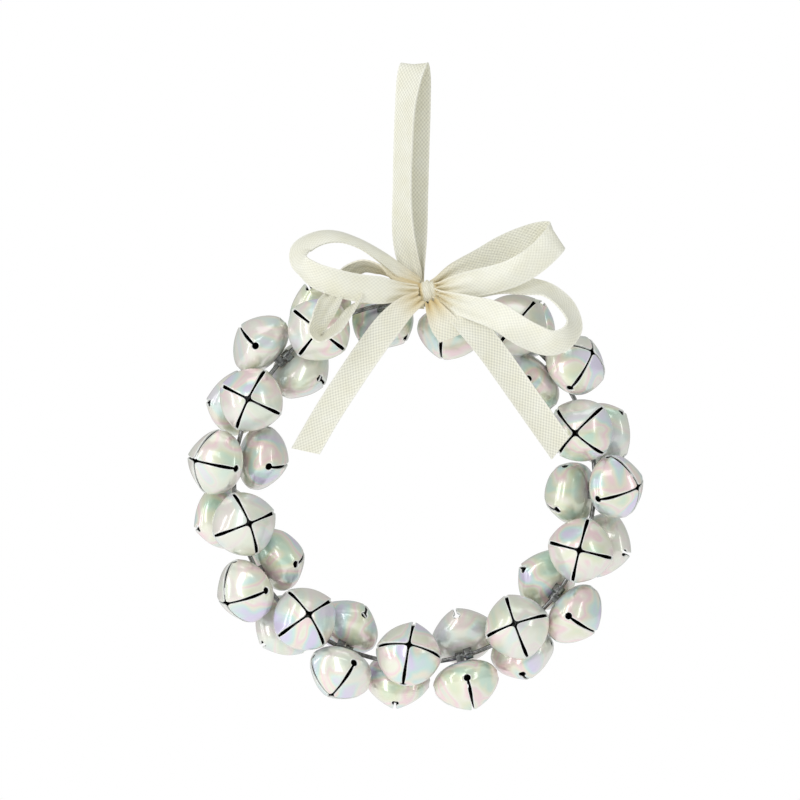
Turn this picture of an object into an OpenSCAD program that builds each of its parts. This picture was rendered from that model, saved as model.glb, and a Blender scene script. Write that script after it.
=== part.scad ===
// Jingle bell wreath ornament: painted jingle bells threaded on a wire ring,
// hung by a satin ribbon loop and finished with a tied bow.
// The crest of the hanging loop is at the origin and the front faces -Y.

/* [Wreath] */
// Radius of the wire ring, to the middle of the wire
ring_r = 41; // [40.8:0.1:42]
// Radius of the wire
wire_r = 0.5; // [0.3:0.05:0.55]
// Drop from the crest of the hanging loop to the middle of the ring
drop = 95; // [90:1:100]

/* [Bells] */
// Radius of a bell across its middle
bell_r = 7.5; // [7:0.1:7.6]
// Height of the closed dome, from the middle of the bell to its crown
dome_h = 4.8; // [4.4:0.1:4.9]
// Height of the slit side, from the middle of the bell to its tip
petal_h = 6.6; // [6:0.1:6.8]
// Thickness of the bell's sheet metal
wall = 0.4; // [0.3:0.05:0.5]
// Width of the slits
slit_w = 0.8; // [0.5:0.05:1]
// Radius of the round hole that ends each slit
slit_hole_r = 0.95; // [0.8:0.05:1.1]
// Radius of the loose pellet in each bell
pellet_r = 1.5; // [1.2:0.1:1.6]

/* [Ribbon] */
// Width of the satin ribbon
ribbon_w = 6.2; // [5:0.1:6.6]
// Thickness of the ribbon's plain solid
ribbon_t = 0.4; // [0.3:0.05:0.5]

/* [Hidden] */
$fn = 48;

// Each bell: its place on the wire, the direction that it hangs in and the
// turn of its slits, in degrees. The place runs anticlockwise from the right
// as seen from the front. Direction 0 is outward and 90 is to the front.
BELLS = [
    [ 17.5, 106, -29], [ 14.5, -54,  30],
    [ 36.5,  44, -29], [ 40.5, 183, -10],
    [ 57.5,  76,   8], [ 54.5, -65,   0],
    [ 77,   186, -12],
    [101,   233,  37],
    [122,    92, -20], [118.5, -44,  0],
    [138,    -4,   8], [135,   219,  12],
    [153,    86,  -1], [156,   -54,  20],
    [174,    44,   7], [171,   199, -12],
    [193.5, 104,  -8], [190.5, -53,  11],
    [212.5,  40,  19], [209.5, 211, -23],
    [231,   106,  17], [228,   -55,  -8],
    [248.5,  31,  17], [245.5, 219, -17],
    [268,   114,   8], [265,   -42,   0],
    [284.5,  12,   4], [287.5, 224,   0],
    [305.5, 102,  16], [302.5, -35, -22],
    [320.5,   9,  -8], [323.5, 232,   9],
    [338,    96,  -8], [341.5, -40,   0],
    [359,    40, -23], [356,   211,  32],
];

// The hanger is a bent strap that the wire runs through. Its legs pass
// through the crown and turn outward under it.
hanger_w = 1.8;
hanger_t = 0.3;
wire_gap = 0.25;
hanger_in_r = wire_r + wire_gap;
hanger_out_r = hanger_in_r + hanger_t;
hanger_foot = 1;
leg_rise = 0.65;
crown_gap = 0.05;
crown_z = hanger_out_r + crown_gap;
middle_z = crown_z + dome_h;
tip_z = middle_z + petal_h;
leg_slot_gap = 0.04;

// Shape of a petal: how late it starts to close in and how blunt its tip is
petal_late = 1.9;
petal_blunt = 0.74;
// Share of the room inside the bell that the pellet's middle uses
pellet_reach = 0.85;

// Half of the turn left open in the wire, where its ends meet in the crimp
wire_end_turn = 0.4;
crimp_at = 89;
crimp_turn = 3.5;
crimp_r = 0.95;
crimp_gap = 0.02;
wrap_in_r = 1.05;
wrap_out_r = 1.5;
wrap_turn = 2.2;

// Ribbon stretches. Each row holds a place, the way the width lies there and
// the gathered width. The hanging loop is measured from its crest and the
// bow's ribbons from the middle of the ring.
HANGING_LOOP = [
    [[0.9, 0.5, -51.8], [1, 0, 0], 2.2], [[0.5, 0.9, -50], [1, -0.1, 0], 2.8],
    [[-0.3, 1.3, -47.4], [1, -0.2, 0], 4], [[-1.6, 1.4, -43.8], [1, -0.3, 0], 5.2],
    [[-2.5, 0.4, -38.5], [1, -0.7, 0], 6], [[-2.8, -1.2, -31], [1, -1.1, 0], 6.2],
    [[-2.6, -1.8, -20], [1, -1.1, 0], 6.2], [[-2, -1.9, -9], [1, -0.9, 0], 6.2],
    [[-1, -1.4, -2.4], [1, -0.4, 0], 6.2], [[-0.4, -0.8, -0.5], [1, -0.2, 0], 6.2],
    [[0, 0, 0], [1, 0, 0], 6.2], [[0.3, 0.8, -0.5], [1, 0, 0], 6.2],
    [[0.6, 1.4, -2.4], [1, 0, 0], 6.2], [[0.6, 1.9, -9], [1, 0, 0], 6.2],
    [[0.3, 2.4, -20], [1, 0, 0], 6.2], [[0, 2.8, -31], [1, 0, 0], 6.2],
    [[-0.1, 3, -39], [1, 0, 0], 6], [[0.1, 2.9, -44.5], [1, 0, 0], 4.8],
    [[0.6, 2.4, -48.4], [1, 0, 0], 3.2], [[1, 1.4, -51.8], [1, 0, 0], 2.2],
];
LOOP_LEFT_UPPER = [
    [[1, -1.8, 45.5], [0.6, 1, 0.5], 3], [[-3, -2, 48], [0.4, 1, 0.5], 5],
    [[-7.5, -2.4, 51.5], [0.2, 1, 0.4], 6.2], [[-12.5, -3, 54.5], [0, 1, 0.4], 6.2],
    [[-17.5, -3.5, 56], [-0.2, 1, 0.5], 6.2], [[-22, -4, 55.5], [-0.3, 1, 0.6], 6.2],
    [[-25.8, -5, 53], [-0.6, 1, 0.6], 6.2], [[-26, -6.5, 49.8], [-0.7, 1, 0.1], 6.2],
    [[-23, -8, 47], [-0.4, 0.7, -1], 6.2], [[-18.5, -8.8, 45.3], [-0.2, 0.3, -1], 6.2],
    [[-13, -8.8, 44], [-0.2, 0.1, -1], 6.2], [[-7, -7.8, 43.4], [0, 0, -1], 6],
    [[-2.5, -6, 43.2], [0, 0, -1], 4], [[0.8, -5, 43.4], [0, 0, -1], 2.6],
];
LOOP_LEFT_LOWER = [
    [[1.2, -3.4, 44.4], [0, 1, 0.6], 2.4], [[-4.5, -4, 46.4], [0, 1, 0.2], 3.6],
    [[-8, -4.4, 48.4], [0, 1, -0.5], 4.6], [[-11.5, -4.6, 49.2], [0.3, 1, -0.6], 5],
    [[-14.6, -4.6, 47.8], [0.8, 0.7, -0.3], 4.8], [[-16.6, -4.8, 45.4], [1, 0.4, 0.1], 4.4],
    [[-17.8, -6.2, 43.2], [1, 0.4, 0.3], 4.4], [[-18.8, -9.4, 41.2], [0.8, 0.6, 0.2], 4.6],
    [[-20.2, -13.2, 38.8], [0.7, 0.8, 0.1], 5], [[-21.6, -15.8, 36.2], [0.6, 0.9, 0.1], 5.6],
    [[-22.3, -16.8, 33.8], [0.5, 1, 0.1], 6], [[-21, -16.8, 32.4], [0.2, 1, 0.3], 6.2],
    [[-18, -16, 34], [-0.2, 1, 0.3], 6.2], [[-15.4, -13.8, 37.2], [-0.3, 1, 0.1], 5.8],
    [[-13.8, -10.2, 39.8], [-0.5, 0.8, -0.2], 5], [[-12, -6.8, 41.6], [-0.5, 0.5, -0.7], 4.4],
    [[-8.5, -5.8, 42.6], [-0.1, 0.3, -1], 4], [[-4, -5, 43], [0, 0.2, -1], 3],
    [[0.8, -4.4, 42.8], [0, 0.2, -1], 2.4],
];
LOOP_RIGHT_UPPER = [
    [[5.2, -2.2, 45.2], [-0.6, 0, 1], 2.8], [[9, -2.4, 47.2], [-0.5, 0, 1], 5],
    [[15.2, -2.6, 50], [-0.5, 0, 1], 6.2], [[20, -2.8, 52.8], [-0.5, 0, 1], 6.2],
    [[24.8, -3.2, 54.9], [-0.4, 0, 1], 6.2], [[28.8, -3.8, 56], [-0.4, 0, 1], 6.2],
    [[31.4, -5, 56], [-0.5, 0, 0.9], 6.2], [[31.9, -6.6, 55.4], [-0.5, 0, 0.9], 6.2],
    [[31, -8, 54], [-0.6, 0, 0.8], 6.2], [[28.6, -8.8, 51.6], [-0.6, 0.1, 0.8], 6.2],
    [[25.8, -9, 49.4], [-0.5, 0.1, 0.9], 6.2], [[21.8, -8.8, 47.2], [-0.4, 0.1, 0.9], 6.2],
    [[17.6, -8.2, 45.9], [-0.3, 0.1, 1], 6.2], [[12, -7, 44.8], [-0.2, 0, 1], 5.8],
    [[8.2, -6, 44.2], [-0.1, 0, 1], 4.4], [[5.6, -4.8, 43.9], [0, 0, 1], 2.8],
];
LOOP_RIGHT_LOWER = [
    [[5.4, -2.8, 42.8], [0, 0, 1], 2.6], [[11, -3.6, 43.3], [0, 0.3, 1], 4.6],
    [[16, -4.6, 44.2], [0, 0.7, 0.8], 6.2], [[20.6, -5.6, 44.6], [0, 0.8, 0.6], 6.2],
    [[25.1, -7, 44.2], [0.1, 0.8, 0.6], 6.2], [[29.7, -8.6, 43.3], [0.3, 0.8, 0.5], 6.2],
    [[33.1, -10.2, 40.8], [0.5, 0.8, 0.3], 6.2], [[35.1, -11.8, 37.4], [0.5, 0.9, 0.1], 6.2],
    [[35.3, -13.2, 35], [0.5, 0.8, -0.2], 6.2], [[33.6, -14.8, 32.6], [0.3, 0.6, -0.7], 6.2],
    [[30.3, -15.6, 31.5], [-0.1, 0.4, -0.9], 6.2], [[24.7, -15.8, 33.5], [-0.5, 0.1, -0.9], 6.2],
    [[18.5, -14, 37.4], [-0.5, 0, -0.9], 6.2], [[12.1, -10.4, 39.6], [-0.4, 0.1, -0.9], 5.2],
    [[8, -7.2, 41], [-0.3, 0.1, -1], 4], [[5.6, -5.4, 42.3], [-0.2, 0.2, -1], 2.6],
];
TAIL_RIGHT = [
    [[5, -5.2, 41.6], [1, 0, 0.9], 2.8], [[9, -8.4, 39], [1, 0, 0.9], 5],
    [[13, -11, 35], [1, 0, 0.8], 6.2], [[17.2, -12, 29.8], [1, 0, 0.7], 6.2],
    [[21.8, -11.6, 23.4], [1, 0, 0.65], 6.2], [[27, -12.2, 16], [1, 0, 0.6], 6.2],
    [[32.6, -13.4, 8], [1, 0, 0.6], 6.2],
];
TAIL_LEFT = [
    [[1.2, -6.2, 41.8], [0.7, 0, -1], 2.8], [[-2.4, -8.2, 39.4], [0.8, 0, -1], 5],
    [[-6.6, -9, 34.8], [1, 0, -0.9], 6.2], [[-11, -9, 28.8], [1, 0, -0.8], 6.2],
    [[-15.2, -8.4, 22.6], [1, 0, -0.7], 6.2], [[-19.6, -7.6, 15.8], [1, 0, -0.7], 6.2],
    [[-24.6, -7, 7.2], [1, 0, -0.6], 6.2],
];
TAIL_SHORT = [
    [[3.6, -5.6, 41], [1, 0, 0.3], 2.6], [[4.9, -8, 38.4], [1, 0, 0.4], 4.6],
    [[6.6, -9.4, 35.6], [1, 0, 0.5], 6.2], [[8.6, -9.8, 32.8], [1, 0, 0.6], 6.2],
];
// The knot is a rounded block: its middle, its corners' reach, their radius and its lean
KNOT_AT = [3.2, -3.6, 43.3];
KNOT_HALF = [1.1, 0, 0.9];
knot_round = 1;
knot_lean = 25;

function bell_name(i) = str("bell_", i < 9 ? "0" : "", i + 1);
function unit(v) = v / norm(v);

// Outline of a bell, turned about its axis, smaller by inset all over
function dome_points(inset, n = 9) = [for (k = [0 : n])
    [(bell_r - inset) * sin(90 * k / n),
     middle_z - (dome_h - inset) * cos(90 * k / n)]];
function petal_points(inset, n = 9) = [for (k = [1 : n])
    let (u = k / n)
    [(bell_r - inset) * pow(1 - pow(u, petal_late), petal_blunt),
     middle_z + (petal_h - inset) * u]];

module bell_solid(inset) {
    rotate_extrude()
        polygon(concat(dome_points(inset), petal_points(inset)));
}

module bell_shell(spin) {
    difference() {
        bell_solid(0);
        bell_solid(wall);
        rotate([0, 0, -spin]) {
            for (side = [0, 90]) rotate([0, 0, side]) {
                translate([-bell_r, -slit_w / 2, middle_z])
                    cube([2 * bell_r, slit_w, petal_h + 1]);
                translate([-bell_r - 1, 0, middle_z]) rotate([0, 90, 0])
                    cylinder(r = slit_hole_r, h = 2 * bell_r + 2);
            }
        }
        for (side = [-1, 1])
            translate([-hanger_w / 2 - leg_slot_gap,
                       side * (hanger_in_r + hanger_t / 2) - hanger_t / 2 - leg_slot_gap, 0])
                cube([hanger_w + 2 * leg_slot_gap, hanger_t + 2 * leg_slot_gap, middle_z / 2]);
    }
}

// The wire runs through the hanger along X
module hanger() {
    leg_top = crown_z + wall + leg_rise;
    rotate([90, 0, 90]) translate([0, 0, -hanger_w / 2]) linear_extrude(hanger_w) {
        difference() {
            circle(r = hanger_out_r);
            circle(r = hanger_in_r);
            translate([-2 * bell_r, 0]) square([4 * bell_r, 2 * bell_r]);
        }
        for (side = [0, 1]) mirror([side, 0]) {
            translate([hanger_in_r, 0]) square([hanger_t, leg_top]);
            translate([hanger_in_r, leg_top - hanger_t])
                square([hanger_t + hanger_foot, hanger_t]);
        }
    }
}

// The pellet rests at the lowest point inside its bell. down is the
// direction of gravity as the bell sees it.
module pellet(down) {
    axial = down[2] < 0 ? dome_h - wall - pellet_r : petal_h - 1.5 * pellet_r - wall;
    radial = bell_r - wall - pellet_r;
    reach = 1 / norm([down[0] / radial, down[1] / radial, down[2] / axial]);
    translate([0, 0, middle_z] + pellet_reach * reach * down) sphere(r = pellet_r);
}

module bell(i) {
    place = BELLS[i][0];
    hang = BELLS[i][1];
    spin = BELLS[i][2];
    // Gravity along the bell's own X, Y and Z
    down = [cos(place), -sin(hang) * sin(place), -cos(hang) * sin(place)];
    translate([0, 0, -drop]) rotate([0, -place, 0]) translate([ring_r, 0, 0])
        rotate([0, 0, -hang]) rotate([0, 90, 0]) {
            color("ghostwhite") bell_shell(spin);
            color("dimgray") hanger();
            color("silver") pellet(down);
        }
}

// A stretch of a tube that follows the ring, from one angle to another
module ring_stretch(from, turn, r, hole_r = 0) {
    translate([0, 0, -drop]) rotate([90, 0, 0]) rotate([0, 0, from])
        rotate_extrude(angle = turn) translate([ring_r, 0]) difference() {
            circle(r = r);
            if (hole_r > 0) circle(r = hole_r);
        }
}

module ring_wire() {
    color("gray")
        ring_stretch(crimp_at + wire_end_turn, 360 - 2 * wire_end_turn, wire_r);
}

module ring_crimp() {
    color("dimgray")
        ring_stretch(crimp_at - crimp_turn, 2 * crimp_turn, crimp_r, wire_r + crimp_gap);
}

module ribbon_wrap() {
    color("ivory")
        ring_stretch(crimp_at - wrap_turn, 2 * wrap_turn, wrap_out_r, wrap_in_r);
}

module bow_knot() {
    color("ivory") translate([0, 0, -drop] + KNOT_AT)
        rotate([0, knot_lean, 0]) hull()
            for (x = [-1, 1], z = [-1, 1])
                translate([x * KNOT_HALF[0], 0, z * KNOT_HALF[2]]) sphere(r = knot_round, $fn = 24);
}

// One ribbon as a flat band swept through its points
function travel(p, i) = unit(p[min(i + 1, len(p) - 1)][0] - p[max(i - 1, 0)][0]);
function across(p, i) = let (t = travel(p, i), w = p[i][1]) unit(w - (w * t) * t);
function corners(p, i) =
    let (w = across(p, i) * p[i][2] / 2,
         n = unit(cross(travel(p, i), across(p, i))) * ribbon_t / 2,
         m = p[i][0])
    [m + w + n, m - w + n, m - w - n, m + w - n];

module ribbon(p, at) {
    last = 4 * (len(p) - 1);
    color("ivory") translate(at) polyhedron(
        points = [for (i = [0 : len(p) - 1]) each corners(p, i)],
        faces = concat(
            [[3, 2, 1, 0], [last, last + 1, last + 2, last + 3]],
            [for (i = [0 : len(p) - 2], k = [0 : 3])
                let (a = 4 * i + k, b = 4 * i + (k + 1) % 4)
                each [[a, b, b + 4], [a, b + 4, a + 4]]]
        )
    );
}

RING_MIDDLE = [0, 0, -drop];

ring_wire();
ring_crimp();
ribbon_wrap();
bow_knot();
ribbon(HANGING_LOOP, [0, 0, 0]);  // hanging_loop
ribbon(LOOP_LEFT_UPPER, RING_MIDDLE);  // bow_loop_left_upper
ribbon(LOOP_LEFT_LOWER, RING_MIDDLE);  // bow_loop_left_lower
ribbon(LOOP_RIGHT_UPPER, RING_MIDDLE);  // bow_loop_right_upper
ribbon(LOOP_RIGHT_LOWER, RING_MIDDLE);  // bow_loop_right_lower
ribbon(TAIL_LEFT, RING_MIDDLE);  // bow_tail_left
ribbon(TAIL_RIGHT, RING_MIDDLE);  // bow_tail_right
ribbon(TAIL_SHORT, RING_MIDDLE);  // bow_tail_short
for (i = [0 : len(BELLS) - 1])
    bell(i);
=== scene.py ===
"""Jingle bell wreath ornament: the looks of its bells, wire, ribbons and bow, in metres."""
import math

import bmesh
import bpy
import numpy as np
from mathutils import Matrix, Vector


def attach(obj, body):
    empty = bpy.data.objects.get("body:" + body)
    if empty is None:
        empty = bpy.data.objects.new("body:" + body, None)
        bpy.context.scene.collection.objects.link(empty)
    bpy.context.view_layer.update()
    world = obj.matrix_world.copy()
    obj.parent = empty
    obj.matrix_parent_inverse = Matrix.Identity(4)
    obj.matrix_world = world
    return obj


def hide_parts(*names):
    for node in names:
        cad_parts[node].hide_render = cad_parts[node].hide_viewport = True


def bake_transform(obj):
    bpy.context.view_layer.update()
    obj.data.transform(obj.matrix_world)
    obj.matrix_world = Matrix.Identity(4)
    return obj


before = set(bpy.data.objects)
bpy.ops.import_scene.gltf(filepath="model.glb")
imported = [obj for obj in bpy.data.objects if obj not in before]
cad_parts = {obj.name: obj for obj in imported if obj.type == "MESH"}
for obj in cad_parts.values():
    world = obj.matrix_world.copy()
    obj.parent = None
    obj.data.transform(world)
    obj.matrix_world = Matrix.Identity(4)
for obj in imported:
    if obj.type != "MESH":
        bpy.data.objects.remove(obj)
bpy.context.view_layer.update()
MM = 0.001

# ---------------------------------------------------------------- driving sizes
RING_R = 41 * MM
DROP = 95 * MM
RING_MIDDLE = Vector((0, 0, -DROP))
WIRE_R = 0.5 * MM
CRIMP_R = 0.95 * MM
WRAP_R = 1.5 * MM
BELL_R = 7.5 * MM
DOME_H = 4.8 * MM
DOME_POWER = 2.15
PETAL_H = 6.6 * MM
PETAL_LATE = 1.9
PETAL_BLUNT = 0.74
WALL = 0.4 * MM
SLIT_W = 0.64 * MM
SLIT_HOLE_R = 0.85 * MM
SLIT_BEVEL = 0.15 * MM
PETAL_CORNER_R = 1.2 * MM
SHELL_SMOOTH_DEG = 48
PELLET_R = 1.5 * MM
HANGER_W = 1.8 * MM
HANGER_T = 0.3 * MM
HANGER_CORNER_R = 0.09 * MM
HANGER_IN_R = WIRE_R + 0.25 * MM
CROWN_Z = HANGER_IN_R + HANGER_T + 0.05 * MM
MIDDLE_Z = CROWN_Z + DOME_H
LEG_TOP = CROWN_Z + WALL + 0.65 * MM
HANGER_FOOT = 1 * MM
RIBBON_W = 6.2 * MM
RIBBON_T = 0.26 * MM
RIBBON_STEP = 0.45 * MM
RIBBON_COLS = 23
SELVEDGE_T = 0.06 * MM
PLEAT_DEPTH = 0.16
WAVE_LENGTH = 17 * MM
KNOT = RING_MIDDLE + Vector((3.2, -3.6, 43.3)) * MM
KNOT_TALL = 2.5 * MM
KNOT_DEEP = 2.0 * MM
KNOT_HALF_W = 1.75 * MM
KNOT_LEAN_DEG = -8
CAMERA_DISTANCE = 0.8
SENSOR_W = 36
VIEW_W = 181.84 * MM
VIEW_CENTRE = Vector((-3.3, 0, -76.25)) * MM

# Colours are linear. Grain counts are noise cells to the metre.
PEARL_WHITE = (0.83, 0.835, 0.77)
# Painted sheen: the pearl coat's iridescent pink, mint and lavender, fixed into the base colour as patches.
PEARL_SHEEN_TINTS = [
    (0.30, (0.60, 0.79, 0.66)), (0.39, (0.83, 0.84, 0.63)), (0.45, (0.92, 0.89, 0.78)),
    (0.50, (0.96, 0.70, 0.74)), (0.54, (0.91, 0.84, 0.70)), (0.60, (0.63, 0.83, 0.80)),
    (0.68, (0.75, 0.67, 0.91)),
]
PATCH_GRAIN = 150.0
PATCH_STRETCH = 0.55
PATCH_FADE_GRAIN = 60.0
FLAKE_GRAIN = 2600.0
METAL_GRAIN = 900.0
RIM_GRAIN = 700.0
CLOTH_GRAIN = 240.0
THREAD = 0.62 * MM
THREADS_ALONG = 0.62
THREADS_ACROSS = 0.78
CREAM = [(0.3, (0.92, 0.90, 0.76)), (0.7, (0.96, 0.95, 0.85))]
SELVEDGE_WHITE = (0.98, 0.97, 0.9)
# Painted shade: the tan of the ribbon's shaded folds near the knot.
SHADE_TAN = (0.80, 0.66, 0.38)

# Each bell: its place on the wire, the direction that it hangs in and the
# turn of its slits, in degrees, as in the part's source.
BELLS = [
    (17.5, 106, -29), (14.5, -54, 30),
    (36.5, 44, -29), (40.5, 183, -10),
    (57.5, 76, 8), (54.5, -65, 0),
    (77, 186, -12),
    (101, 233, 37),
    (122, 92, -20), (118.5, -44, 0),
    (138, -4, 8), (135, 219, 12),
    (153, 86, -1), (156, -54, 20),
    (174, 44, 7), (171, 199, -12),
    (193.5, 104, -8), (190.5, -53, 11),
    (212.5, 40, 19), (209.5, 211, -23),
    (231, 106, 17), (228, -55, -8),
    (248.5, 31, 17), (245.5, 219, -17),
    (268, 114, 8), (265, -42, 0),
    (284.5, 12, 4), (287.5, 224, 0),
    (305.5, 102, 16), (302.5, -35, -22),
    (320.5, 9, -8), (323.5, 232, 9),
    (338, 96, -8), (341.5, -40, 0),
    (359, 40, -23), (356, 211, 32),
]


# ---------------------------------------------------------------- camera
def make_camera():
    data = bpy.data.cameras.new("camera")
    data.sensor_width = SENSOR_W
    data.lens = SENSOR_W * CAMERA_DISTANCE / VIEW_W
    camera = bpy.data.objects.new("camera", data)
    bpy.context.scene.collection.objects.link(camera)
    camera.location = VIEW_CENTRE + Vector((0, -CAMERA_DISTANCE, 0))
    camera.rotation_euler = (math.radians(90), 0, 0)
    bpy.context.scene.camera = camera


make_camera()


# ---------------------------------------------------------------- material helpers
def material(name):
    m = bpy.data.materials.new(name)
    m.use_nodes = True
    return m, m.node_tree, m.node_tree.nodes["Principled BSDF"]


def set_inputs(shader, values):
    for key, value in values.items():
        shader.inputs[key].default_value = value


def node(tree, kind, inputs=None, **settings):
    """A new node, where an input is either a value or another node's socket."""
    n = tree.nodes.new(kind)
    for key, value in settings.items():
        setattr(n, key, value)
    for key, value in (inputs or {}).items():
        if isinstance(value, bpy.types.NodeSocket):
            tree.links.new(value, n.inputs[key])
        else:
            n.inputs[key].default_value = value
    return n


def ramp(tree, factor, stops):
    n = node(tree, "ShaderNodeValToRGB", {0: factor})
    elements = n.color_ramp.elements
    while len(elements) < len(stops):
        elements.new(0.5)
    for element, (at, colour) in zip(elements, stops):
        element.position = at
        element.color = (*colour, 1)
    return n.outputs[0]


def maths(tree, operation, a, b=0.0):
    return node(tree, "ShaderNodeMath", {0: a, 1: b}, operation=operation).outputs[0]


def ranged(tree, value, low_in, high_in, low_out, high_out):
    """The value carried from the first range to the second, and held at its ends."""
    inputs = {0: value, 1: low_in, 2: high_in, 3: low_out, 4: high_out}
    return node(tree, "ShaderNodeMapRange", inputs).outputs[0]


def noise(tree, place, grain, detail, **more):
    inputs = {"Vector": place, "Scale": grain, "Detail": detail, **more}
    return node(tree, "ShaderNodeTexNoise", inputs).outputs[0]


def bump(tree, shader, height, strength, distance):
    inputs = {"Height": height, "Strength": strength, "Distance": distance}
    tree.links.new(node(tree, "ShaderNodeBump", inputs).outputs[0], shader.inputs["Normal"])


def mixed(tree, factor, a, b):
    n = node(tree, "ShaderNodeMix", {0: factor}, data_type="RGBA")
    for socket, value in ((n.inputs[6], a), (n.inputs[7], b)):
        if isinstance(value, bpy.types.NodeSocket):
            tree.links.new(value, socket)
        else:
            socket.default_value = (*value, 1)
    return n.outputs[2]


# ---------------------------------------------------------------- materials
def pearl_lacquer():
    """White pearl paint, with its iridescent sheen painted into the colour as soft patches of pink, mint and
    lavender that run from tip to crown.
    """
    m, tree, shader = material("pearl_lacquer")
    place = node(tree, "ShaderNodeTexCoord").outputs["Object"]
    chance = node(tree, "ShaderNodeObjectInfo").outputs["Random"]
    shift = node(tree, "ShaderNodeCombineXYZ", {0: maths(tree, "MULTIPLY", chance, 3.1),
                                                1: maths(tree, "MULTIPLY", chance, 7.7)}).outputs[0]
    scale = (1, 1, PATCH_STRETCH)
    stretched = node(tree, "ShaderNodeMapping", {"Vector": place, "Scale": scale}).outputs[0]
    moved = node(tree, "ShaderNodeVectorMath", {0: stretched, 1: shift}, operation="ADD").outputs[0]
    patches = noise(tree, moved, PATCH_GRAIN, 1.5, Roughness=0.35, Distortion=0.5)
    amount = ranged(tree, noise(tree, moved, PATCH_FADE_GRAIN, 0.0), 0.38, 0.56, 0.35, 1.0)
    # Painted sheen: patches of iridescent tint over the pearl white.
    colour = mixed(tree, amount, PEARL_WHITE, ramp(tree, patches, PEARL_SHEEN_TINTS))
    tree.links.new(colour, shader.inputs["Base Color"])
    set_inputs(shader, {
        "Metallic": 0.3, "Roughness": 0.3,
        "Coat Weight": 1.0, "Coat IOR": 1.9, "Coat Roughness": 0.03,
        "Thin Film Thickness": 420, "Thin Film IOR": 1.6,
    })
    bump(tree, shader, noise(tree, moved, FLAKE_GRAIN, 1.0), 0.05, 0.1 * MM)
    return m


def plain_metal(name, dark, light, roughness):
    """Grey metal whose shade drifts a little from dark to light."""
    m, tree, shader = material(name)
    place = node(tree, "ShaderNodeTexCoord").outputs["Object"]
    drift = noise(tree, place, METAL_GRAIN, 3.0)
    tree.links.new(ramp(tree, drift, [(0.35, dark), (0.65, light)]), shader.inputs["Base Color"])
    set_inputs(shader, {"Metallic": 1.0, "Roughness": roughness})
    return m


def highlit_rim():
    """Painted highlight on the cut edges of the slits: the lacquer painted near white where the rounded edges
    catch the light.
    """
    m, tree, shader = material("slit_rim")
    place = node(tree, "ShaderNodeTexCoord").outputs["Object"]
    highlight_drift = noise(tree, place, RIM_GRAIN, 2.0)
    colour = ramp(tree, highlight_drift, [(0.3, (0.8, 0.82, 0.8)), (0.6, (0.95, 0.96, 0.95))])
    tree.links.new(colour, shader.inputs["Base Color"])
    set_inputs(shader, {"Roughness": 0.3})
    return m


def satin_ribbon():
    """Cream satin: a fine weave of dots, a smoother satin side, firm selvedges and tan painted shade in the
    folds at the knot.
    """
    m, tree, shader = material("satin_ribbon")
    flat = node(tree, "ShaderNodeUVMap", uv_map="cloth").outputs[0]
    split = node(tree, "ShaderNodeSeparateXYZ", {0: flat})
    along, side = split.outputs[0], split.outputs[1]
    satin = node(tree, "ShaderNodeAttribute", attribute_name="satin").outputs["Fac"]
    painted_shade = node(tree, "ShaderNodeAttribute", attribute_name="painted_shade").outputs["Fac"]

    along_turn = maths(tree, "MULTIPLY", along, THREADS_ALONG * 2 * math.pi / THREAD)
    side_turn = maths(tree, "MULTIPLY", side, THREADS_ACROSS * 2 * math.pi / THREAD)
    dots = maths(tree, "MULTIPLY", maths(tree, "SINE", along_turn), maths(tree, "SINE", side_turn))
    lean = maths(tree, "SINE", maths(tree, "ADD", along_turn, side_turn))
    weave = maths(tree, "ADD", maths(tree, "MULTIPLY", dots, 0.75), maths(tree, "MULTIPLY", lean, 0.22))
    shade = ranged(tree, weave, -0.7, 0.7, ranged(tree, satin, 0.0, 1.0, 0.79, 0.90), 1.05)
    cream = ramp(tree, noise(tree, flat, CLOTH_GRAIN, 2.0), CREAM)
    shaded = node(tree, "ShaderNodeVectorMath", {0: cream, "Scale": shade}, operation="SCALE").outputs[0]

    selvedge = ranged(tree, maths(tree, "ABSOLUTE", side), 2.62 * MM, 2.75 * MM, 0.0, 1.0)
    trimmed = mixed(tree, maths(tree, "MULTIPLY", selvedge, 0.35), shaded, SELVEDGE_WHITE)
    # Mixes in the tan painted shade of the folds.
    tree.links.new(mixed(tree, painted_shade, trimmed, SHADE_TAN), shader.inputs["Base Color"])
    tree.links.new(ranged(tree, satin, 0.0, 1.0, 0.5, 0.3), shader.inputs["Roughness"])
    tree.links.new(ranged(tree, satin, 0.0, 1.0, 0.4, 1.0), shader.inputs["Specular IOR Level"])
    set_inputs(shader, {"Sheen Weight": 0.15, "Sheen Roughness": 0.35})
    bump(tree, shader, weave, 0.5, 0.05 * MM)
    return m


PEARL = pearl_lacquer()
# The slits' bevels get a painted highlight, near white.
RIM_HIGHLIGHT = highlit_rim()
# Painted shade: the shell's inside is near black, for the dark seen through the slits.
INSIDE_SHADE = plain_metal("bell_inside_shade", (0.006, 0.006, 0.006), (0.014, 0.014, 0.013), 0.6)
STRAP = plain_metal("hanger_steel", (0.09, 0.09, 0.09), (0.30, 0.31, 0.31), 0.24)
WIRE = plain_metal("wire_steel", (0.12, 0.12, 0.12), (0.34, 0.34, 0.34), 0.22)
STEEL = plain_metal("pellet_steel", (0.05, 0.05, 0.05), (0.12, 0.12, 0.12), 0.3)
SATIN = satin_ribbon()


# ---------------------------------------------------------------- mesh helpers
def make_mesh(name, points, faces, materials, face_slots=None, smooth_deg=40):
    mesh = bpy.data.meshes.new(name)
    mesh.from_pydata([tuple(p) for p in points], [], [tuple(int(k) for k in f) for f in faces])
    for m in materials:
        mesh.materials.append(m)
    if face_slots is not None:
        mesh.polygons.foreach_set("material_index", np.array(face_slots, dtype=np.int32))
    mesh.validate()
    mesh.update()
    mesh.shade_smooth()
    mesh.set_sharp_from_angle(angle=math.radians(smooth_deg))
    return mesh


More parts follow.
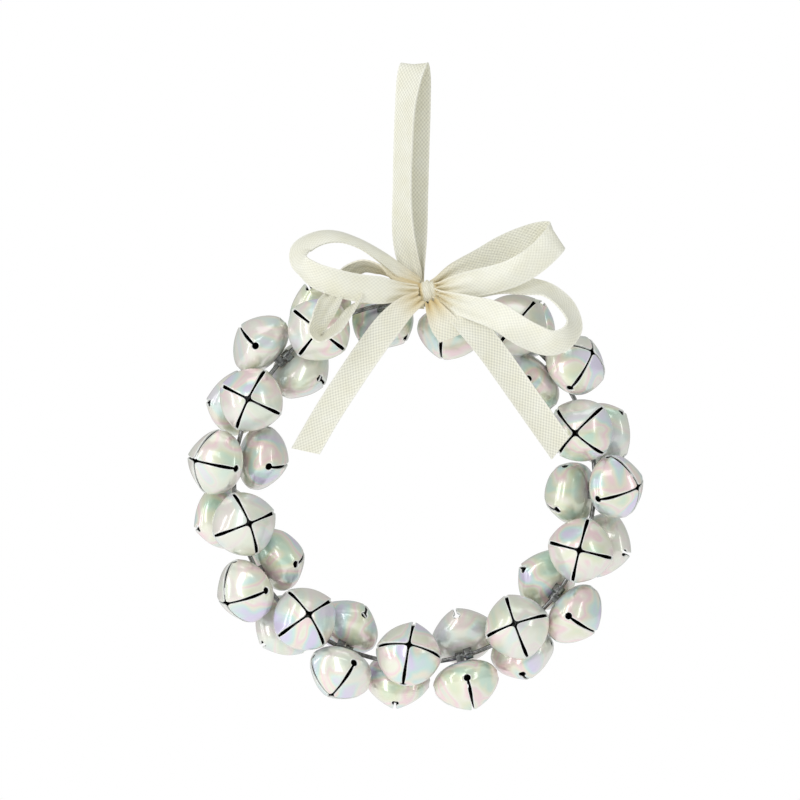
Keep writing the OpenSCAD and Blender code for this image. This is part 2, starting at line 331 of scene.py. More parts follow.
def add_object(name, mesh, place=None):
    o = bpy.data.objects.new(name, mesh)
    bpy.context.scene.collection.objects.link(o)
    if place is not None:
        o.matrix_world = place
    return o


def write_cloth(mesh, flat):
    """Stores each point's place on the flat cloth, in metres, in the UV map that the weave reads."""
    corners = np.zeros(len(mesh.loops), np.int32)
    mesh.loops.foreach_get("vertex_index", corners)
    layer = mesh.uv_layers.new(name="cloth")
    layer.data.foreach_set("uv", flat[corners].ravel().astype(np.float32))


def write_attribute(mesh, name, values):
    attribute = mesh.attributes.new(name, "FLOAT", "POINT")
    attribute.data.foreach_set("value", values.astype(np.float32))


def grid_faces(rows, cols, start=0, close=False, flip=False):
    """Quads of a grid of points stored row by row."""
    faces = []
    for i in range(rows - 1):
        for j in range(cols if close else cols - 1):
            a, b = start + i * cols + j, start + i * cols + (j + 1) % cols
            quad = [a, b, b + cols, a + cols]
            faces.append(quad[::-1] if flip else quad)
    return faces


def side_faces(rows, cols, start=0):
    """Quads that join the first and last columns of a grid to those of the next grid, pair by pair."""
    n = rows * cols
    faces = []
    for i in range(rows - 1):
        a, b = start + i * cols, start + (i + 1) * cols
        faces.append([a, b, b + n, a + n])
        a, b = a + cols - 1, b + cols - 1
        faces.append([a, a + n, b + n, b])
    return faces


def tube_ends(rings, sides):
    """The two end faces of a tube whose points are stored ring by ring."""
    last = (rings - 1) * sides
    return [list(range(sides))[::-1], list(range(last, last + sides))]


def spline(points, count):
    """Smooth values through the rows of points, at count steps even in the square roots of the chords."""
    p = np.array(points, float)
    xyz = p[:, :3]
    knots = np.concatenate([[0], np.cumsum(np.linalg.norm(np.diff(xyz, axis=0), axis=1) ** 0.5)])
    slopes = np.gradient(p, knots, axis=0)
    at = np.linspace(0, knots[-1], count)
    k = np.clip(np.searchsorted(knots, at, side="right") - 1, 0, len(p) - 2)
    h = (knots[k + 1] - knots[k])[:, None]
    t = ((at - knots[k])[:, None]) / h
    return ((2 * t**3 - 3 * t**2 + 1) * p[k] + (t**3 - 2 * t**2 + t) * h * slopes[k]
            + (3 * t**2 - 2 * t**3) * p[k + 1] + (t**3 - t**2) * h * slopes[k + 1])


def unit_rows(v):
    return v / np.maximum(np.linalg.norm(v, axis=-1, keepdims=True), 1e-12)


class Ribbon:
    """A flat ribbon of even cut width that is gathered into pleats where its stretch is narrower."""

    def __init__(self, rows, origin, pleats=2.5, cup=0.0, wave=0.0, slant=0.0, seed=0.0):
        self.pleats, self.cup, self.wave, self.slant, self.seed = pleats, cup, wave, slant, seed
        packed = [[*(c * MM + o for c, o in zip(place, origin)), *Vector(lie).normalized(), width * MM]
                  for place, lie, width in rows]
        fine = spline(packed, 24 * len(rows))
        self.centre = fine[:, :3]
        steps = np.linalg.norm(np.diff(self.centre, axis=0), axis=1)
        self.s = np.concatenate([[0], np.cumsum(steps)])
        self.length = float(self.s[-1])
        self.tangent = unit_rows(np.gradient(self.centre, self.s, axis=0))
        side = fine[:, 3:6]
        self.side = unit_rows(side - (side * self.tangent).sum(1, keepdims=True) * self.tangent)
        self.width = np.minimum(fine[:, 6], RIBBON_W)

    def along(self, s, values):
        """The rows of values at each distance s along the ribbon."""
        flat = np.stack([np.interp(np.ravel(s), self.s, values[:, k]) for k in range(values.shape[1])], 1)
        return flat.reshape(*np.shape(s), values.shape[1])

    def surface(self, s, v):
        """Points of the middle surface at distance s along and v across, where v runs from -1 to 1."""
        side = unit_rows(self.along(s, self.side))
        tangent = unit_rows(self.along(s, self.tangent))
        past_end = np.maximum(s - self.length, 0)
        centre = self.along(s, self.centre) + tangent * past_end[..., None]
        normal = np.cross(tangent, side)
        width = np.interp(np.ravel(s), self.s, self.width).reshape(np.shape(s))
        gather = np.clip(1 - width / RIBBON_W, 0, 1)
        ripple = gather * PLEAT_DEPTH * RIBBON_W * np.cos(self.pleats * math.pi * v + self.seed)
        bow = self.cup * (v**2 - 0.33) * (1 - gather)
        swell = self.wave * np.sin(2 * math.pi * s / WAVE_LENGTH + self.seed) * v
        lift = (ripple + bow + swell)[..., None]
        return centre + side * (v * width / 2)[..., None] + normal * lift

    def build(self, name, painted_shade_ends, painted_shade_reach, satin_side):
        """A closed mesh with thicker selvedges, its place on the cloth, where tan painted shade lies and
        which side is satin.
        """
        count = max(12, int(self.length / RIBBON_STEP))
        spread = math.pi / 2 * 0.96
        v = np.sin(np.linspace(-1, 1, RIBBON_COLS) * spread) / math.sin(spread)
        share = np.linspace(0, 1, count + 1)[:, None]
        s = share * (self.length + self.slant * v[None, :])
        across = np.broadcast_to(v[None, :], s.shape)
        middle = self.surface(s, across)
        normal = unit_rows(np.cross(np.gradient(middle, axis=0), np.gradient(middle, axis=1)))
        rim = np.exp(-(((1 - np.abs(across)) / 0.07) ** 2))
        half = (RIBBON_T / 2 + SELVEDGE_T * rim)[..., None]
        top, bottom = middle + normal * half, middle - normal * half
        rows, cols = s.shape
        n = rows * cols
        points = np.concatenate([top.reshape(-1, 3), bottom.reshape(-1, 3)])
        faces = grid_faces(rows, cols, 0, flip=True) + grid_faces(rows, cols, n) + side_faces(rows, cols)
        for j in range(cols - 1):
            faces.append([j, j + n, j + 1 + n, j + 1])
            e = (rows - 1) * cols + j
            faces.append([e, e + 1, e + 1 + n, e + n])
        mesh = make_mesh(name, points, faces, [SATIN], smooth_deg=50)
        flat = np.stack([s, across * RIBBON_W / 2], -1).reshape(-1, 2)
        write_cloth(mesh, np.concatenate([flat, flat]))
        # Tan painted shade that fades away from the ribbon's ends, where it folds into the knot or around the
        # wire.
        near_start = painted_shade_ends[0] * np.exp(-((s / painted_shade_reach) ** 2))
        near_end = painted_shade_ends[1] * np.exp(-(((self.length - s) / painted_shade_reach) ** 2))
        painted_shade = np.clip(near_start + near_end, 0, 1).ravel()
        write_attribute(mesh, "painted_shade", np.concatenate([painted_shade, painted_shade]))
        sheen = np.concatenate([np.full(n, satin_side > 0), np.full(n, satin_side < 0)])
        write_attribute(mesh, "satin", sheen)
        return add_object(name, mesh)


# ---------------------------------------------------------------- ribbons
# Each stretch: [place, the way its width lies, width], in millimetres. The
# bow's places are measured from the middle of the ring.
HANGING_LOOP = [
    [[0.9, 0.5, -51.8], [1, 0, 0], 2.2], [[0.5, 0.9, -50], [1, -0.1, 0], 2.8],
    [[-0.3, 1.3, -47.4], [1, -0.2, 0], 4], [[-1.6, 1.4, -43.8], [1, -0.3, 0], 5.2],
    [[-2.5, 0.4, -38.5], [1, -0.7, 0], 6], [[-2.8, -1.2, -31], [1, -1.1, 0], 6.2],
    [[-2.6, -1.8, -20], [1, -1.1, 0], 6.2], [[-2, -1.9, -9], [1, -0.9, 0], 6.2],
    [[-1, -1.4, -2.4], [1, -0.4, 0], 6.2], [[-0.4, -0.8, -0.5], [1, -0.2, 0], 6.2],
    [[0, 0, 0], [1, 0, 0], 6.2], [[0.3, 0.8, -0.5], [1, 0, 0], 6.2],
    [[0.6, 1.4, -2.4], [1, 0, 0], 6.2], [[0.6, 1.9, -9], [1, 0, 0], 6.2],
    [[0.3, 2.4, -20], [1, 0, 0], 6.2], [[0, 2.8, -31], [1, 0, 0], 6.2],
    [[-0.1, 3, -39], [1, 0, 0], 6], [[0.1, 2.9, -44.5], [1, 0, 0], 4.8],
    [[0.6, 2.4, -48.4], [1, 0, 0], 3.2], [[1, 1.4, -51.8], [1, 0, 0], 2.2],
]
LOOP_LEFT_UPPER = [
    [[1, -1.8, 45.5], [0.6, 1, 0.5], 3], [[-3, -2, 48], [0.4, 1, 0.5], 5],
    [[-7.5, -2.4, 51.5], [0.2, 1, 0.4], 6.2], [[-12.5, -3, 54.5], [0, 1, 0.4], 6.2],
    [[-17.5, -3.5, 56], [-0.2, 1, 0.5], 6.2], [[-22, -4, 55.5], [-0.3, 1, 0.6], 6.2],
    [[-25.8, -5, 53], [-0.6, 1, 0.6], 6.2], [[-26, -6.5, 49.8], [-0.7, 1, 0.1], 6.2],
    [[-23, -8, 47], [-0.4, 0.7, -1], 6.2], [[-18.5, -8.8, 45.3], [-0.2, 0.3, -1], 6.2],
    [[-13, -8.8, 44], [-0.2, 0.1, -1], 6.2], [[-7, -7.8, 43.4], [0, 0, -1], 6],
    [[-2.5, -6, 43.2], [0, 0, -1], 4], [[0.8, -5, 43.4], [0, 0, -1], 2.6],
]
LOOP_LEFT_LOWER = [
    [[1.2, -3.4, 44.4], [0, 1, 0.6], 2.4], [[-4.5, -4, 46.4], [0, 1, 0.2], 3.6],
    [[-8, -4.4, 48.4], [0, 1, -0.5], 4.6], [[-11.5, -4.6, 49.2], [0.3, 1, -0.6], 5],
    [[-14.6, -4.6, 47.8], [0.8, 0.7, -0.3], 4.8], [[-16.6, -4.8, 45.4], [1, 0.4, 0.1], 4.4],
    [[-17.8, -6.2, 43.2], [1, 0.4, 0.3], 4.4], [[-18.8, -9.4, 41.2], [0.8, 0.6, 0.2], 4.6],
    [[-20.2, -13.2, 38.8], [0.7, 0.8, 0.1], 5], [[-21.6, -15.8, 36.2], [0.6, 0.9, 0.1], 5.6],
    [[-22.3, -16.8, 33.8], [0.5, 1, 0.1], 6], [[-21, -16.8, 32.4], [0.2, 1, 0.3], 6.2],
    [[-18, -16, 34], [-0.2, 1, 0.3], 6.2], [[-15.4, -13.8, 37.2], [-0.3, 1, 0.1], 5.8],
    [[-13.8, -10.2, 39.8], [-0.5, 0.8, -0.2], 5], [[-12, -6.8, 41.6], [-0.5, 0.5, -0.7], 4.4],
    [[-8.5, -5.8, 42.6], [-0.1, 0.3, -1], 4], [[-4, -5, 43], [0, 0.2, -1], 3],
    [[0.8, -4.4, 42.8], [0, 0.2, -1], 2.4],
]
LOOP_RIGHT_UPPER = [
    [[5.2, -2.2, 45.2], [-0.6, 0, 1], 2.8], [[9, -2.4, 47.2], [-0.5, 0, 1], 5],
    [[15.2, -2.6, 50], [-0.5, 0, 1], 6.2], [[20, -2.8, 52.8], [-0.5, 0, 1], 6.2],
    [[24.8, -3.2, 54.9], [-0.4, 0, 1], 6.2], [[28.8, -3.8, 56], [-0.4, 0, 1], 6.2],
    [[31.4, -5, 56], [-0.5, 0, 0.9], 6.2], [[31.9, -6.6, 55.4], [-0.5, 0, 0.9], 6.2],
    [[31, -8, 54], [-0.6, 0, 0.8], 6.2], [[28.6, -8.8, 51.6], [-0.6, 0.1, 0.8], 6.2],
    [[25.8, -9, 49.4], [-0.5, 0.1, 0.9], 6.2], [[21.8, -8.8, 47.2], [-0.4, 0.1, 0.9], 6.2],
    [[17.6, -8.2, 45.9], [-0.3, 0.1, 1], 6.2], [[12, -7, 44.8], [-0.2, 0, 1], 5.8],
    [[8.2, -6, 44.2], [-0.1, 0, 1], 4.4], [[5.6, -4.8, 43.9], [0, 0, 1], 2.8],
]
LOOP_RIGHT_LOWER = [
    [[5.4, -2.8, 42.8], [0, 0, 1], 2.6], [[11, -3.6, 43.3], [0, 0.3, 1], 4.6],
    [[16, -4.6, 44.2], [0, 0.7, 0.8], 6.2], [[20.6, -5.6, 44.6], [0, 0.8, 0.6], 6.2],
    [[25.1, -7, 44.2], [0.1, 0.8, 0.6], 6.2], [[29.7, -8.6, 43.3], [0.3, 0.8, 0.5], 6.2],
    [[33.1, -10.2, 40.8], [0.5, 0.8, 0.3], 6.2], [[35.1, -11.8, 37.4], [0.5, 0.9, 0.1], 6.2],
    [[35.3, -13.2, 35], [0.5, 0.8, -0.2], 6.2], [[33.6, -14.8, 32.6], [0.3, 0.6, -0.7], 6.2],
    [[30.3, -15.6, 31.5], [-0.1, 0.4, -0.9], 6.2], [[24.7, -15.8, 33.5], [-0.5, 0.1, -0.9], 6.2],
    [[18.5, -14, 37.4], [-0.5, 0, -0.9], 6.2], [[12.1, -10.4, 39.6], [-0.4, 0.1, -0.9], 5.2],
    [[8, -7.2, 41], [-0.3, 0.1, -1], 4], [[5.6, -5.4, 42.3], [-0.2, 0.2, -1], 2.6],
]
TAIL_RIGHT = [
    [[5, -5.2, 41.6], [1, 0, 0.9], 2.8], [[9, -8.4, 39], [1, 0, 0.9], 5],
    [[13, -11, 35], [1, 0, 0.8], 6.2], [[17.2, -12, 29.8], [1, 0, 0.7], 6.2],
    [[21.8, -11.6, 23.4], [1, 0, 0.65], 6.2], [[27, -12.2, 16], [1, 0, 0.6], 6.2],
    [[32.6, -13.4, 8], [1, 0, 0.6], 6.2],
]
TAIL_LEFT = [
    [[1.2, -6.2, 41.8], [0.7, 0, -1], 2.8], [[-2.4, -8.2, 39.4], [0.8, 0, -1], 5],
    [[-6.6, -9, 34.8], [1, 0, -0.9], 6.2], [[-11, -9, 28.8], [1, 0, -0.8], 6.2],
    [[-15.2, -8.4, 22.6], [1, 0, -0.7], 6.2], [[-19.6, -7.6, 15.8], [1, 0, -0.7], 6.2],
    [[-24.6, -7, 7.2], [1, 0, -0.6], 6.2],
]
TAIL_SHORT = [
    [[3.6, -5.6, 41], [1, 0, 0.3], 2.6], [[4.9, -8, 38.4], [1, 0, 0.4], 4.6],
    [[6.6, -9.4, 35.6], [1, 0, 0.5], 6.2], [[8.6, -9.8, 32.8], [1, 0, 0.6], 6.2],
]


def make_ribbon(name, cad_node, rows, far_end, origin=RING_MIDDLE, body="wreath", lay="loose", declare=True,
                painted_shade=(1, 1), painted_shade_reach=5 * MM, satin_side=0, **look):
    band = Ribbon(rows, origin, **look)
    piece = band.build(name, painted_shade, painted_shade_reach, satin_side)
    if body is not None:
        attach(piece, body)
    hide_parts(cad_node)
    return piece


# The hanging ribbon's ends run on a little past their solids, into the turn
# around the wire, and the right loops' ends into the knot.
hanging_rows = ([[[1, 0.2, -52.8], [1, 0, 0], 2]] + HANGING_LOOP
                + [[[1, 1, -52.8], [1, 0, 0], 2]])
right_upper_rows = ([[[4.1, -2.6, 44.7], [-0.6, 0, 1], 2.4]] + LOOP_RIGHT_UPPER
                    + [[[4.3, -4.3, 43.8], [0, 0, 1], 2.4]])
right_lower_rows = ([[[4.2, -3, 43], [0, 0, 1], 2.4]] + LOOP_RIGHT_LOWER
                    + [[[4.4, -4.8, 42.9], [-0.2, 0.2, -1], 2.4]])

# The pair of numbers given to each ribbon below sets how strong the tan painted shade is at its two ends.
hanging = make_ribbon("hanging_ribbon", "hanging_loop", hanging_rows, "object", origin=Vector((0, 0, 0)),
                      body=None, lay="hanging", painted_shade=(0.6, 0.6), pleats=2)
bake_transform(hanging)
make_ribbon("bow_ribbon_left_upper", "bow_loop_left_upper", LOOP_LEFT_UPPER, "object",
            painted_shade=(0.6, 0.5), satin_side=-1, pleats=2.6, cup=0.5 * MM, seed=0.4)
make_ribbon("bow_ribbon_left_lower", "bow_loop_left_lower", LOOP_LEFT_LOWER, "object",
            painted_shade=(0.9, 0.6), painted_shade_reach=11 * MM, pleats=2.2, cup=0.3 * MM, seed=1.1)
make_ribbon("bow_ribbon_right_upper", "bow_loop_right_upper", right_upper_rows, "object",
            painted_shade=(0.5, 0.5), satin_side=-1, pleats=2.4, cup=0.5 * MM, wave=0.25 * MM, seed=2.0)
make_ribbon("bow_ribbon_right_lower", "bow_loop_right_lower", right_lower_rows, "object",
            painted_shade=(0.5, 0.4), satin_side=1, pleats=2.5, cup=0.4 * MM, wave=0.2 * MM, seed=0.9)
make_ribbon("bow_ribbon_tail_left", "bow_tail_left", TAIL_LEFT, "bare",
            painted_shade=(0.7, 0), pleats=2.2, cup=0.25 * MM, slant=-1.0 * MM, seed=0.2)
make_ribbon("bow_ribbon_tail_right", "bow_tail_right", TAIL_RIGHT, "bare",
            painted_shade=(0.7, 0), pleats=2.2, cup=0.3 * MM, slant=-1.0 * MM, seed=0.7)
make_ribbon("bow_ribbon_tail_short", "bow_tail_short", TAIL_SHORT, "bare",
            declare=False, painted_shade=(1, 0), pleats=2, slant=0.8 * MM)


# ---------------------------------------------------------------- knot, wire, crimp and wrap
def make_knot():
    """The bow's centre: a gathered band of the same ribbon, wound once around the loops."""
    turns, cols = 72, 27
    around = np.linspace(0, 2 * math.pi, turns, endpoint=False)[:, None]
    v = np.linspace(-1, 1, cols)[None, :]
    narrowing = 1 - 0.26 * v**2
    crease = 1 + 0.07 * np.cos(8.5 * v + 0.9 * np.sin(2 * around)) - 0.04 * np.cos(3 * around + 4 * v)
    x = v * KNOT_HALF_W * (1 + 0.12 * np.cos(around))
    y = -KNOT_DEEP * np.cos(around) * narrowing * crease
    z = KNOT_TALL * np.sin(around) * narrowing * crease
    points = np.stack([x, y, z], -1).reshape(-1, 3)
    faces = grid_faces(turns, cols, flip=True)
    last = (turns - 1) * cols
    for j in range(cols - 1):
        faces.append([j + 1, j, last + j, last + j + 1])
    faces.append([i * cols for i in range(turns)][::-1])
    faces.append([i * cols + cols - 1 for i in range(turns)])
    mesh = make_mesh("bow_knot_band", points, faces, [SATIN], smooth_deg=60)
    wound = np.broadcast_to(around * 2.1 * MM, x.shape)
    across = np.broadcast_to(v, x.shape)
    write_cloth(mesh, np.stack([wound, across * RIBBON_W / 2], -1).reshape(-1, 2))
    # Tan painted shade along the band's edges, where it tucks in around the loops.
    write_attribute(mesh, "painted_shade", 2.4 * np.clip(np.abs(across) - 0.5, 0.05, 1).ravel())
    lean = Matrix.Rotation(math.radians(KNOT_LEAN_DEG), 4, "Y")
    knot = add_object("bow_knot_band", mesh, Matrix.Translation(KNOT) @ lean)
    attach(knot, "wreath")
    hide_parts("bow_knot")


def ring_tube(name, cad_node, first_deg, last_deg, radius, sides, rings, look):
    """A tube along the ring from one angle to another, in place of a CAD node."""
    a = np.radians(np.linspace(first_deg, last_deg, rings))
    outward = np.stack([np.cos(a), 0 * a, np.sin(a)], 1)[:, None, :]
    centre = outward * RING_R + np.array(RING_MIDDLE)
    turn = np.linspace(0, 2 * math.pi, sides, endpoint=False)[None, :, None]
    back = np.array([0, 1, 0])
    points = centre + outward * radius * np.cos(turn) + back * radius * np.sin(turn)
    faces = grid_faces(rings, sides, close=True) + tube_ends(rings, sides)
    piece = add_object(name, make_mesh(name, points.reshape(-1, 3), faces, [look]))
    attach(piece, "wreath")
    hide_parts(cad_node)
    return piece


def make_wrap():
    """The ribbon's turn around the wire under the knot."""
    mesh = ring_tube("ribbon_turn", "ribbon_wrap", 86.8, 91.2, WRAP_R, 32, 10, SATIN).data
    co = np.zeros(len(mesh.vertices) * 3, np.float32)
    mesh.vertices.foreach_get("co", co)
    co = co.reshape(-1, 3)
    write_cloth(mesh, np.stack([co[:, 1] * 1.5, co[:, 0]], 1))
    # Tan painted shade over the whole turn, under the knot.
    write_attribute(mesh, "painted_shade", np.full(len(co), 0.4))


make_knot()
ring_tube("wreath_wire", "ring_wire", 89.4, 448.6, WIRE_R, 16, 300, WIRE)
ring_tube("wire_crimp", "ring_crimp", 85.5, 92.5, CRIMP_R, 24, 10, STRAP)
make_wrap()


# ---------------------------------------------------------------- bells
def shell_radius(z):
    """Radius of the shell at height z above its middle, before the petals are flattened."""
    dome = np.clip(1 - np.abs(np.minimum(z, 0) / DOME_H) ** DOME_POWER, 0, 1) ** (1 / DOME_POWER)
    petal = np.clip(1 - np.clip(z / PETAL_H, 0, 1) ** PETAL_LATE, 0, 1) ** PETAL_BLUNT
    return BELL_R * np.where(z < 0, dome, petal)


def gap_half(z):
    """Half of the gap between two petals at height z: a round hole that narrows into a slit."""
    hole = np.sqrt(np.clip(SLIT_HOLE_R**2 - z**2, 0, None))
    u = np.clip(z / PETAL_H, 0, 1)
    slit = SLIT_W / 2 * (0.82 + 0.5 * np.sin(math.pi * np.clip(u * 1.15, 0, 1)) ** 2) * (z > 0)
    return np.maximum(hole, slit)


def petal_edge_angle(z):
    """Angle from a slit's middle to the petal's edge, with the petal's corner rounded at the tip."""
    g, r = gap_half(z), np.maximum(shell_radius(z), 1e-6)
    edge = np.arcsin(np.clip(g / r, 0, math.sin(math.pi / 4)))
    c = g + PETAL_CORNER_R
    turn = np.clip((r**2 + 2 * c**2 - PETAL_CORNER_R**2) / (2 * r * c) / math.sqrt(2), -1, 1)
    rounded = math.pi / 4 - np.arccos(turn)
    return np.where((r < np.hypot(c, g)) & (z > 0), np.maximum(edge, rounded), edge)


def flatness(z):
    """How far the cross-section goes from round to square: none on the dome, most halfway up a petal."""
    low = np.clip(1 + np.minimum(z, 0) / (0.6 * DOME_H), 0, 1)
    u = np.clip(z / PETAL_H, 0, 1)
    return 0.28 * low**2 * (3 - 2 * low) + 0.27 * np.sin(math.pi * np.clip(u * 1.1, 0, 0.75)) ** 1.5


def shell_points(z, angle, inset):
    """Points on the shell at height z and angle from a slit, moved inward by inset along the normal."""
    step = 0.02 * MM
    slope = (shell_radius(z + step) - shell_radius(z - step)) / (2 * step)
    normal_r, normal_z = 1 / np.hypot(1, slope), -slope / np.hypot(1, slope)
    from_mid = (angle % (math.pi / 2)) - math.pi / 4
    square = 0.76 / np.cos(from_mid)
    f = flatness(z)
    r = shell_radius(z) * (1 - f + f * square)
    r = np.maximum(r - inset * normal_r, 0)
    zz = z - inset * normal_z
    return np.stack([r * np.cos(angle), r * np.sin(angle), zz + MIDDLE_Z], -1)


def tip_height():
    """Height where a petal's two edges meet."""
    z = np.linspace(0.5 * PETAL_H, 0.999 * PETAL_H, 4000)
    return float(z[np.argmax(petal_edge_angle(z) > math.radians(43.5))])


class BellShell:
    """The shell's points and faces: a closed dome below its middle and four petals above."""

    OUTER, EDGE, INNER = 0, 1, 2
    share = np.linspace(0, 1, 21)

    def __init__(self):
        self.points, self.faces, self.slots = [], [], []
        for petal in range(4):
            self.add_petal(petal * math.pi / 2)
        self.add_dome()

    def add_points(self, z, angle, inset):
        start = len(self.points)
        self.points += list(shell_points(z, angle, inset).reshape(-1, 3))
        return start

    def add_faces(self, faces, slots):
        self.faces += faces
        self.slots += slots

    def petal_heights(self):
        hole_rows = -SLIT_HOLE_R * np.cos(np.linspace(0, math.pi / 2, 9))
        upper_hole = -hole_rows[::-1][1:-1] * 0.99
        rise = tip_height() - SLIT_HOLE_R
        petal_rows = SLIT_HOLE_R + rise * np.sin(np.linspace(0, math.pi / 2, 30))
        return np.concatenate([hole_rows, upper_hole, petal_rows])

    def add_petal(self, turn):
        """One petal with the metal's thickness and bevels along its slits that carry the painted rim
        highlight.
        """
        z = self.petal_heights()
        edge = petal_edge_angle(z)[:, None]
        width = math.pi / 2 - 2 * edge
        bevel = np.minimum(SLIT_BEVEL / np.maximum(shell_radius(z), 1e-6)[:, None], width * 0.2)
        angle = edge + bevel + (width - 2 * bevel) * self.share[None, :]
        angle = np.concatenate([edge, angle, math.pi / 2 - edge], 1) + turn
        zz = np.broadcast_to(z[:, None], angle.shape)
        rows, cols = angle.shape
        round_off = np.zeros(angle.shape)
        round_off[:, 0] = 0.12 * MM * np.clip(gap_half(z) / (0.3 * MM), 0, 1)
        round_off[:, -1] = round_off[:, 0]
        start = self.add_points(zz, angle, round_off)
        n = self.add_points(zz, angle, np.full(angle.shape, WALL)) - start
        for k, quad in enumerate(grid_faces(rows, cols, start)):
            row, column = divmod(k, cols - 1)
            on_bevel = column in (0, cols - 2) and row > 0
            self.add_faces([quad], [self.EDGE if on_bevel else self.OUTER])
        inner = grid_faces(rows, cols, start + n, flip=True)
        self.add_faces(inner, [self.INNER] * len(inner))
        sides = side_faces(rows, cols, start)
        self.add_faces(sides, [self.EDGE] * len(sides))
        for j in range(cols - 1):
            e = start + (rows - 1) * cols + j
            self.add_faces([[e, e + 1, e + 1 + n, e + n]], [self.EDGE])

    def add_dome(self):
        """The dome, outside and inside, which carries on from the petals' lowest row to the crown."""
        fall = np.sin(np.linspace(0, math.pi / 2 * 0.97, 18))
        z = -SLIT_HOLE_R - (DOME_H - SLIT_HOLE_R) * fall
        first = petal_edge_angle(z[:1])[0]
        bevel = SLIT_BEVEL / shell_radius(z[:1])[0]
        one = np.concatenate([[first], first + bevel + (math.pi / 2 - 2 * first - 2 * bevel) * self.share])
        ring = np.concatenate([one + k * math.pi / 2 for k in range(4)])
        angle = np.broadcast_to(ring[None, :], (len(z), len(ring)))
        zz = np.broadcast_to(z[:, None], angle.shape)
        for inset, slot, flip in ((0.0, self.OUTER, True), (WALL, self.INNER, False)):
            start = self.add_points(zz, angle, np.full(angle.shape, inset))
            quads = grid_faces(len(z), len(ring), start, close=True, flip=flip)
            cap = [start + (len(z) - 1) * len(ring) + j for j in range(len(ring))]
            quads.append(cap[::-1] if flip else cap)
            self.add_faces(quads, [slot] * len(quads))


def bell_shell_mesh():
    shell = BellShell()
    mesh = make_mesh("bell_shell", shell.points, shell.faces, [PEARL, RIM_HIGHLIGHT, INSIDE_SHADE], shell.slots,
                     smooth_deg=SHELL_SMOOTH_DEG)
    weld(mesh, 0.004 * MM)
    return mesh


def weld(mesh, distance):
    """Joins the points that lie on each other."""
    b = bmesh.new()
    b.from_mesh(mesh)
    bmesh.ops.remove_doubles(b, verts=b.verts, dist=distance)
    b.normal_update()
    b.to_mesh(mesh)
    b.free()
    mesh.shade_smooth()
    mesh.set_sharp_from_angle(angle=math.radians(SHELL_SMOOTH_DEG))


def hanger_mesh():
    """A strap bent around the wire, with its two feet turned outward under the crown."""
    middle_r = (HANGER_IN_R + HANGER_T / 2) / MM
    foot_z = (LEG_TOP - HANGER_T / 2) / MM
    reach = (HANGER_IN_R + HANGER_T + HANGER_FOOT) / MM
    bend = 0.22
    leg = [[0, -reach, foot_z], [0, -middle_r - bend - 0.3, foot_z],
           [0, -middle_r - bend * 0.3, foot_z - bend * 0.3],
           [0, -middle_r, foot_z - bend - 0.25], [0, -middle_r, 0.5]]
    arch = [[0, -middle_r * math.cos(a), -middle_r * math.sin(a)] for a in np.linspace(0, math.pi, 9)]
    other_leg = [[0, -y, z] for _, y, z in leg[::-1]]
    fine = spline(np.array(leg + arch + other_leg) * MM, 90)
    tangent = unit_rows(np.gradient(fine, axis=0))
    side = np.array([1.0, 0, 0])
    normal = np.cross(tangent, side)
    section = []
    for k, (sx, sn) in enumerate(((1, 1), (-1, 1), (-1, -1), (1, -1))):
        for turn in (0, 30, 60, 90):
            a = math.radians(90 * k + turn)
            section.append((sx * (HANGER_W / 2 - HANGER_CORNER_R) + HANGER_CORNER_R * math.cos(a),
                            sn * (HANGER_T / 2 - HANGER_CORNER_R) + HANGER_CORNER_R * math.sin(a)))
    section = np.array(section)
    points = (fine[:, None, :] + side[None, None, :] * section[None, :, :1]
              + normal[:, None, :] * section[None, :, 1:]).reshape(-1, 3)
    faces = grid_faces(len(fine), len(section), close=True) + tube_ends(len(fine), len(section))
    return make_mesh("bell_hanger", points, faces, [STRAP], smooth_deg=50)


def pellet_mesh():
    mesh = bpy.data.meshes.new("bell_pellet")
    b = bmesh.new()
    bmesh.ops.create_icosphere(b, subdivisions=3, radius=PELLET_R)
    b.to_mesh(mesh)
    b.free()
    mesh.materials.append(STEEL)
    mesh.shade_smooth()
    return mesh


def pellet_place(place, hang):
    """Near the lowest point inside a bell, along its own axes, for the pellet's middle."""
    down = Vector((math.cos(place), -math.sin(hang) * math.sin(place), -math.cos(hang) * math.sin(place)))
    axial = DOME_H - WALL - PELLET_R if down.z < 0 else PETAL_H - 1.5 * PELLET_R - WALL
    radial = BELL_R - WALL - PELLET_R
    reach = 1 / Vector((down.x / radial, down.y / radial, down.z / axial)).length
    return Vector((0, 0, MIDDLE_Z)) + 0.85 * reach * down


def make_bells():
    shell_mesh, strap_mesh, ball_mesh = bell_shell_mesh(), hanger_mesh(), pellet_mesh()
    for i, (place_deg, hang_deg, spin_deg) in enumerate(BELLS):
        name = f"bell_{i + 1:02d}"
        place, hang, spin = (math.radians(d) for d in (place_deg, hang_deg, spin_deg))
        frame_here = (Matrix.Translation(RING_MIDDLE) @ Matrix.Rotation(-place, 4, "Y")
                      @ Matrix.Translation((RING_R, 0, 0)) @ Matrix.Rotation(-hang, 4, "Z")
                      @ Matrix.Rotation(math.radians(90), 4, "Y"))
        pieces = (
            ("shell", shell_mesh, frame_here @ Matrix.Rotation(-spin, 4, "Z"), "bells"),
            ("strap", strap_mesh, frame_here, "wire"),
            ("pellet", ball_mesh, frame_here @ Matrix.Translation(pellet_place(place, hang)), "wire"),
        )
        for kind, mesh, where, slot in pieces:
            piece = add_object(f"{name}_{kind}", mesh, where)
            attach(piece, name)
            if kind == "shell":
                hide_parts(name)


make_bells()


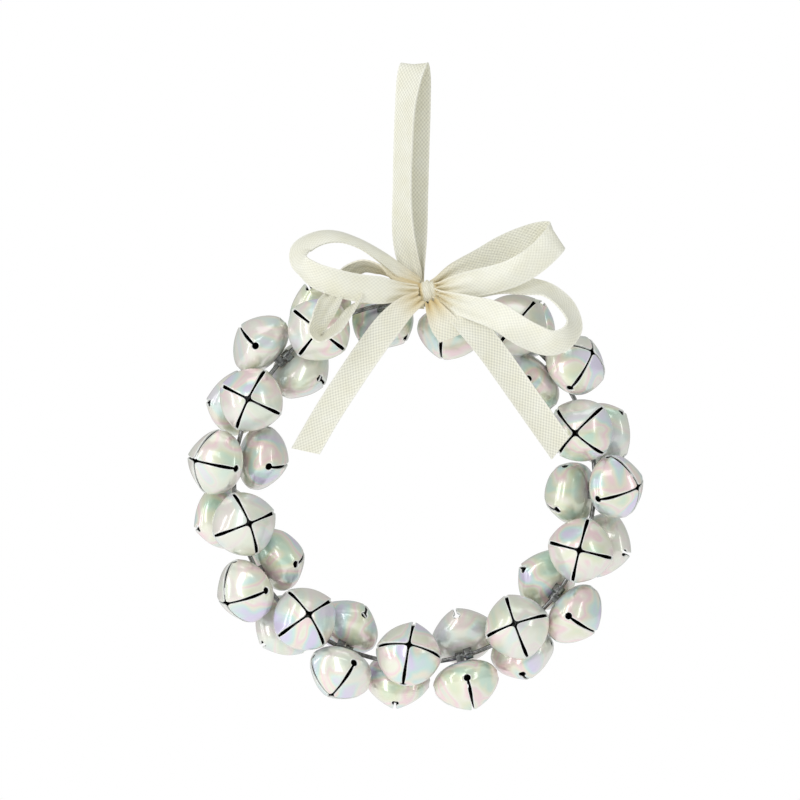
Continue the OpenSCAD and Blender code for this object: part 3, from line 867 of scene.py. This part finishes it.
# ---------------------------------------------------------------- studio
# Each light: its name, place, width and height, and power in watts.
LIGHTS = [
    ("key", (-0.10, -0.66, 0.56), (0.30, 0.20), 0.3),
    ("strip_near", (-0.44, -0.72, 0.20), (0.19, 0.9), 1.7),
    ("strip_far", (-0.74, -0.40, 0.14), (0.10, 0.9), 0.75),
    ("fill_right", (0.62, -0.42, 0.08), (0.10, 0.5), 0.42),
    ("top", (0.0, -0.05, 0.62), (0.5, 0.35), 0.5),
    ("left_strip", (-0.62, -0.1, -0.05), (0.06, 0.5), 0.25),
    ("front_low", (0.12, -0.7, -0.42), (0.3, 0.14), 0.06),
]
LIGHTS_AIM = Vector((0, 0, -0.09))
WORLD_GREY = (0.50, 0.51, 0.49)
FLOOR_HALF = 1.2
FLOOR_Z = -0.36


def area_light(name, place, size, power):
    data = bpy.data.lights.new(name, "AREA")
    data.shape = "RECTANGLE"
    data.size, data.size_y = size
    data.energy = power
    lamp = bpy.data.objects.new(name, data)
    bpy.context.scene.collection.objects.link(lamp)
    lamp.location = place
    lamp.rotation_euler = (LIGHTS_AIM - Vector(place)).to_track_quat("-Z", "Y").to_euler()


def make_world():
    """Soft grey light from all round, in front of a white background."""
    world = bpy.data.worlds.new("studio")
    bpy.context.scene.world = world
    world.use_nodes = True
    tree = world.node_tree
    seen = node(tree, "ShaderNodeLightPath").outputs["Is Camera Ray"]
    tree.links.new(mixed(tree, seen, WORLD_GREY, (1, 1, 1)), tree.nodes["Background"].inputs["Color"])


def make_floor():
    mesh = bpy.data.meshes.new("floor")
    corners = [(x * FLOOR_HALF, y * FLOOR_HALF, FLOOR_Z) for x, y in ((-1, -1), (1, -1), (1, 1), (-1, 1))]
    mesh.from_pydata(corners, [], [(0, 1, 2, 3)])
    m, _, shader = material("floor")
    set_inputs(shader, {
        "Base Color": (0.9, 0.9, 0.9, 1), "Roughness": 0.9,
        "Emission Color": (1, 1, 1, 1), "Emission Strength": 0.3,
    })
    mesh.materials.append(m)
    add_object("floor", mesh)


bpy.context.scene.view_settings.view_transform = "Standard"
make_world()
for light in LIGHTS:
    area_light(*light)
make_floor()
